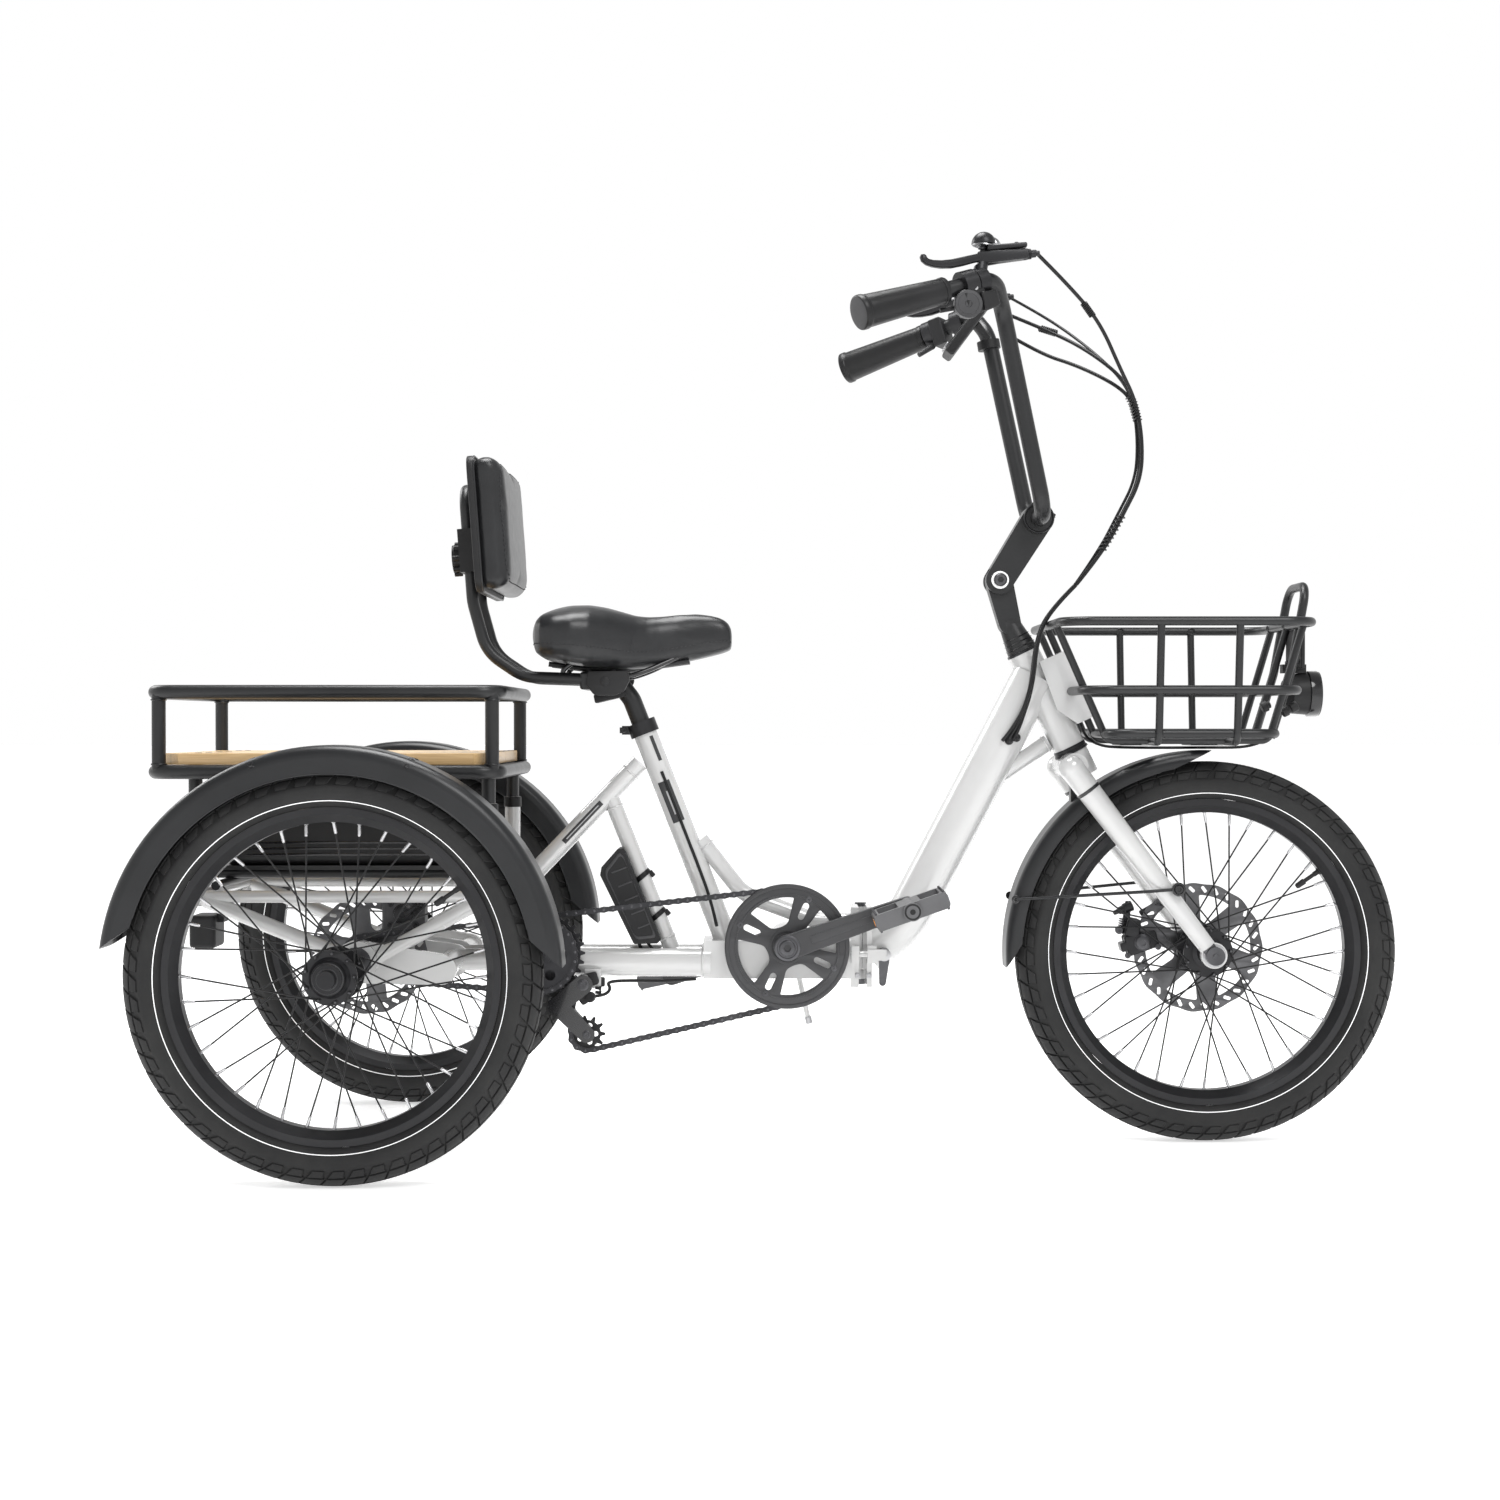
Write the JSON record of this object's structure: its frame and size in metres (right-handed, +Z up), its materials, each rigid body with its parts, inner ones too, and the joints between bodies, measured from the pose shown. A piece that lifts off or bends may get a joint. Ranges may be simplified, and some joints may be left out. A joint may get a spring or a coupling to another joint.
{
  "type": "adult tricycle",
  "caption": "Folding adult tricycle with a rear load deck and rack, a front basket, a padded seat with backrest, disc brakes and a chain drive to the rear axle.",
  "frame": {"origin": "on the ground, at the middle of the tricycle's length and width", "axes": "+X forwards, +Y to the rider's left, +Z up"},
  "size_m": [1.6786, 0.752, 1.212],
  "materials": {
    "white_frame": "pearl white gloss paint",
    "black_frame": "satin black powder coat",
    "bamboo": "clear-lacquered bamboo",
    "black_plastic": "fine-textured moulded plastic",
    "tyre": "moulded rubber with reflective ring",
    "black_alloy": "satin black anodised",
    "steel": "brushed and oiled steel",
    "grip_rubber": "smooth soft rubber",
    "cable": "black cable housing",
    "upholstery": "matte black synthetic leather"
  },
  "bodies": {
    "rear_frame": {"rear_frame": "white_frame", "bearings": "steel", "seat_collar": "black_frame", "rack_frame": "black_frame", "rack_deck": "bamboo", "battery_case": "black_plastic", "controller_case": "black_plastic", "rear_fenders": "black_frame", "tail_light": "black_plastic", "derailleur": "black_alloy", "chains": "steel", "rear_caliper": "black_alloy", "hinge_pin": "steel", "rear_cables": "cable"},
    "crankset": {"cranks": "black_alloy", "chainring": "steel", "chain_guard": "black_alloy"},
    "right_pedal": {"right_pedal": "black_plastic"},
    "left_pedal": {"left_pedal": "black_plastic"},
    "freewheel": {"freewheel_sprockets": "steel"},
    "jackshaft": {"jackshaft": "steel"},
    "upper_pulley": {"upper_pulley": "steel"},
    "lower_pulley": {"lower_pulley": "steel"},
    "right_wheel": {"right_tyre": "tyre", "right_rim": "black_alloy", "right_hub": "black_alloy", "axle_sprocket": "steel", "rear_rotor": "steel"},
    "left_wheel": {"left_tyre": "tyre", "left_rim": "black_alloy", "left_hub": "black_alloy"},
    "seat": {"seatpost": "black_frame", "saddle": "upholstery", "seat_frame": "black_frame"},
    "backrest": {"backrest_pad": "upholstery", "backrest_clamp": "black_plastic"},
    "front_frame": {"front_frame": "white_frame", "headset": "black_alloy", "basket": "black_frame", "headlight": "black_plastic", "lower_cables": "cable"},
    "fold_latch": {"fold_latch": "steel"},
    "steering": {"fork": "white_frame", "front_fender": "black_frame", "front_caliper": "black_alloy", "stem_base": "black_frame", "upper_cables": "cable"},
    "front_wheel": {"front_tyre": "tyre", "front_rim": "black_alloy", "front_hub": "black_alloy", "front_rotor": "steel"},
    "handlebar": {"stem_arm": "black_frame", "handlebar": "black_frame", "grips": "grip_rubber", "bar_clamps": "black_plastic", "display": "black_plastic"},
    "right_brake_lever": {"right_brake_lever": "black_alloy"},
    "left_brake_lever": {"left_brake_lever": "black_alloy"},
    "shift_lever": {"shift_lever": "black_plastic"},
    "throttle": {"throttle": "black_plastic"}
  },
  "joints": [
    {"name": "crank_spin", "type": "hinge", "parent": "rear_frame", "child": "crankset", "pos_m": [0.00659, 0, 0.272], "axis": [0, 1, 0], "continuous": true},
    {"name": "right_pedal_spin", "type": "hinge", "parent": "crankset", "child": "right_pedal", "pos_m": [0.16703, -0.14, 0.32819], "axis": [0, 1, 0], "continuous": true},
    {"name": "left_pedal_spin", "type": "hinge", "parent": "crankset", "child": "left_pedal", "pos_m": [-0.15386, 0.14, 0.21581], "axis": [0, 1, 0], "continuous": true},
    {"name": "freewheel_spin", "type": "hinge", "parent": "rear_frame", "child": "freewheel", "pos_m": [-0.32441, -0.065, 0.262], "axis": [0, 1, 0], "continuous": true},
    {"name": "upper_pulley_spin", "type": "hinge", "parent": "rear_frame", "child": "upper_pulley", "pos_m": [-0.30141, -0.059, 0.193], "axis": [0, 1, 0], "continuous": true},
    {"name": "lower_pulley_spin", "type": "hinge", "parent": "rear_frame", "child": "lower_pulley", "pos_m": [-0.26271, -0.059, 0.1536], "axis": [0, 1, 0], "continuous": true},
    {"name": "right_wheel_spin", "type": "hinge", "parent": "rear_frame", "child": "right_wheel", "pos_m": [-0.55641, -0.32, 0.26], "axis": [0, 1, 0], "continuous": true},
    {"name": "left_wheel_spin", "type": "hinge", "parent": "rear_frame", "child": "left_wheel", "pos_m": [-0.55641, 0.32, 0.26], "axis": [0, 1, 0], "continuous": true},
    {"name": "jackshaft_spin", "type": "hinge", "parent": "rear_frame", "child": "jackshaft", "pos_m": [-0.32441, -0.065, 0.262], "axis": [0, 1, 0], "continuous": true},
    {"name": "saddle_height", "type": "slide", "parent": "rear_frame", "child": "seat", "axis": [-0.3644, 0, 0.9313], "range_m": [-0.012, 0.08]},
    {"name": "backrest_height", "type": "slide", "parent": "seat", "child": "backrest", "axis": [-0.0732, 0, 0.9973], "range_m": [-0.02, 0.02]},
    {"name": "frame_fold", "type": "hinge", "parent": "rear_frame", "child": "front_frame", "pos_m": [0.10959, 0.041, 0.26], "axis": [0, 0, -1], "range_deg": [-120, 0]},
    {"name": "fold_latch_turn", "type": "hinge", "parent": "front_frame", "child": "fold_latch", "pos_m": [0.13759, -0.046, 0.2597], "axis": [0, -1, 0], "range_deg": [0, 140]},
    {"name": "steer", "type": "hinge", "parent": "front_frame", "child": "steering", "pos_m": [0.39549, 0, 0.5345], "axis": [-0.438, 0, 0.899], "range_deg": [-40, 40], "deforming": ["lower_cables"]},
    {"name": "front_wheel_spin", "type": "hinge", "parent": "steering", "child": "front_wheel", "pos_m": [0.57929, 0, 0.26], "axis": [0, 1, 0], "continuous": true},
    {"name": "stem_fold", "type": "hinge", "parent": "steering", "child": "handlebar", "pos_m": [0.29649, 0, 0.7664], "axis": [0, 1, 0], "range_deg": [-20, 20], "deforming": ["upper_cables"]},
    {"name": "right_brake_pull", "type": "hinge", "parent": "handlebar", "child": "right_brake_lever", "pos_m": [0.25859, -0.152, 1.176], "axis": [0.4061, -0.9138, 0], "range_deg": [0, 12], "stiffness_Nm_per_rad": 3},
    {"name": "left_brake_pull", "type": "hinge", "parent": "handlebar", "child": "left_brake_lever", "pos_m": [0.25859, 0.152, 1.176], "axis": [-0.4061, -0.9138, 0], "range_deg": [0, 12], "stiffness_Nm_per_rad": 3},
    {"name": "shift_push", "type": "hinge", "parent": "handlebar", "child": "shift_lever", "pos_m": [0.23689, -0.16521, 1.11306], "axis": [0, 0, -1], "range_deg": [0, 20], "stiffness_Nm_per_rad": 0.5},
    {"name": "throttle_push", "type": "hinge", "parent": "handlebar", "child": "throttle", "pos_m": [0.21784, 0.16017, 1.11268], "axis": [0, 1, 0], "range_deg": [0, 25], "stiffness_Nm_per_rad": 0.4}
  ],
  "couplings": [
    {"joint": "freewheel_spin", "follows": "crank_spin", "ratio": 1.5833},
    {"joint": "upper_pulley_spin", "follows": "crank_spin", "ratio": -3.8},
    {"joint": "lower_pulley_spin", "follows": "crank_spin", "ratio": 3.4545},
    {"joint": "jackshaft_spin", "follows": "right_wheel_spin", "ratio": 0.58333}
  ]
}
